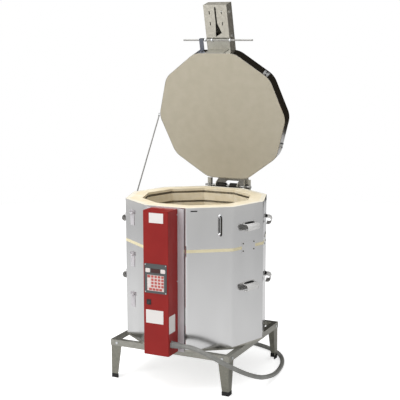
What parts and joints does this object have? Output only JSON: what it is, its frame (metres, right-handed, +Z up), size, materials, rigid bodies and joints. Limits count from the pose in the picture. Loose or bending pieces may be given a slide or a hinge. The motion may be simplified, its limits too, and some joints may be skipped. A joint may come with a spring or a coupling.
{
  "type": "ceramic kiln",
  "caption": "Ten-sided top-loading ceramic kiln on an angle-iron stand, with a red control box, a rear-hinged lid on a lift arm, a prop rod and a supply cord.",
  "frame": {"origin": "on the floor under the middle of the object without its cord, halfway between the control box's front and the open lift arm's back", "axes": "+Z up, -Y towards the control box, +X towards the side where the supply cord leaves"},
  "size_m": [0.9267, 1.096, 2.0963],
  "materials": {
    "zinc_steel": "galvanised, satin",
    "stainless": "satin, half polished",
    "rod_steel": "drawn",
    "dark_steel": "blackened",
    "bright_screw": "zinc plated",
    "core_steel": "laminated",
    "element_wire": "oxidised",
    "gland_metal": "cast",
    "red_paint": "gloss",
    "firebrick": "soft brick, matte",
    "fibre_board": "matte",
    "fibre_gasket": "matte",
    "porcelain": "glazed",
    "black_rubber": "matte",
    "black_plastic": "matte",
    "relay_plastic": "matte",
    "bezel_plastic": "fine texture",
    "display_plastic": "tinted",
    "keypad_film": "satin",
    "label_film": "satin",
    "badge_film": "gloss",
    "circuit_board": "coated",
    "cord_rubber": "matte"
  },
  "bodies": {
    "base": {"stand_rails": "zinc_steel", "stand_legs": "zinc_steel", "foot_caps": "black_rubber", "stand_bolts": "bright_screw", "base_pan": "zinc_steel", "base_board": "fibre_board", "floor_slab": "firebrick", "brick_ring_lower": "firebrick", "brick_ring_middle": "firebrick", "brick_ring_upper": "firebrick", "insulation_lower": "fibre_board", "insulation_upper": "fibre_board", "jacket_lower": "stainless", "jacket_upper": "stainless", "seam_gasket": "fibre_gasket", "heating_elements": "element_wire", "element_bushings": "porcelain", "thermocouple": "porcelain", "lap_panel": "stainless", "grab_handle": "dark_steel", "label_plates": "label_film", "blank_badge": "badge_film", "seam_plates": "stainless", "seam_screws": "bright_screw", "side_handles": "stainless", "handle_mounts": "black_plastic", "flap_lugs": "dark_steel", "box_back_plate": "zinc_steel", "control_box_cover": "red_paint", "box_screws": "bright_screw", "controller_bezel": "bezel_plastic", "display_window": "display_plastic", "keypad": "keypad_film", "controller_board": "circuit_board", "rocker_frame": "black_plastic", "relays": "relay_plastic", "transformer": "core_steel", "terminal_block": "porcelain", "cord_gland": "gland_metal", "supply_cord": "cord_rubber", "cord_plug": "black_rubber", "hinge_base": "zinc_steel", "hinge_posts": "zinc_steel", "hinge_rod": "rod_steel", "hinge_springs": "dark_steel", "prop_guide": "zinc_steel"},
    "lid": {"lid_slab": "firebrick", "lid_band": "stainless", "band_clamps": "bright_screw", "lift_arm": "zinc_steel", "lid_bolts": "bright_screw", "arm_mounts": "zinc_steel", "pull_bar": "rod_steel", "lid_hook": "dark_steel", "prop_stud": "bright_screw"},
    "prop": {"prop_rod": "rod_steel"},
    "rocker": {"rocker_switch": "black_plastic"},
    "flap_lower": {"sight_flap_lower": "stainless"},
    "flap_middle": {"sight_flap_middle": "stainless"},
    "flap_upper": {"sight_flap_upper": "stainless"}
  },
  "joints": [
    {"name": "lid_hinge", "type": "hinge", "parent": "base", "child": "lid", "pos_m": [0, 0.39609, 1.0117], "axis": [1, 0, 0], "range_deg": [0, 75], "stiffness_Nm_per_rad": 57, "springref_deg": -27.5},
    {"name": "prop_pivot", "type": "hinge", "parent": "lid", "child": "prop", "pos_m": [-0.414, 0.29401, 1.43594], "axis": [1, 0, 0], "range_deg": [-39.01, 0]},
    {"name": "rocker_tip", "type": "hinge", "parent": "base", "child": "rocker", "pos_m": [-0.042, -0.54061, 0.5125], "axis": [1, 0, 0], "range_deg": [0, 20]},
    {"name": "flap_lower_swing", "type": "hinge", "parent": "base", "child": "flap_lower", "pos_m": [-0.25811, -0.33922, 0.4769], "axis": [-0.809, 0.5878, 0], "range_deg": [0, 100]},
    {"name": "flap_middle_swing", "type": "hinge", "parent": "base", "child": "flap_middle", "pos_m": [-0.25811, -0.33922, 0.7059], "axis": [-0.809, 0.5878, 0], "range_deg": [0, 100]},
    {"name": "flap_upper_swing", "type": "hinge", "parent": "base", "child": "flap_upper", "pos_m": [-0.25811, -0.33922, 0.9409], "axis": [-0.809, 0.5878, 0], "range_deg": [0, 100]}
  ],
  "couplings": [
    {"joint": "prop_pivot", "follows": "lid_hinge", "ratio": -0.5201}
  ]
}
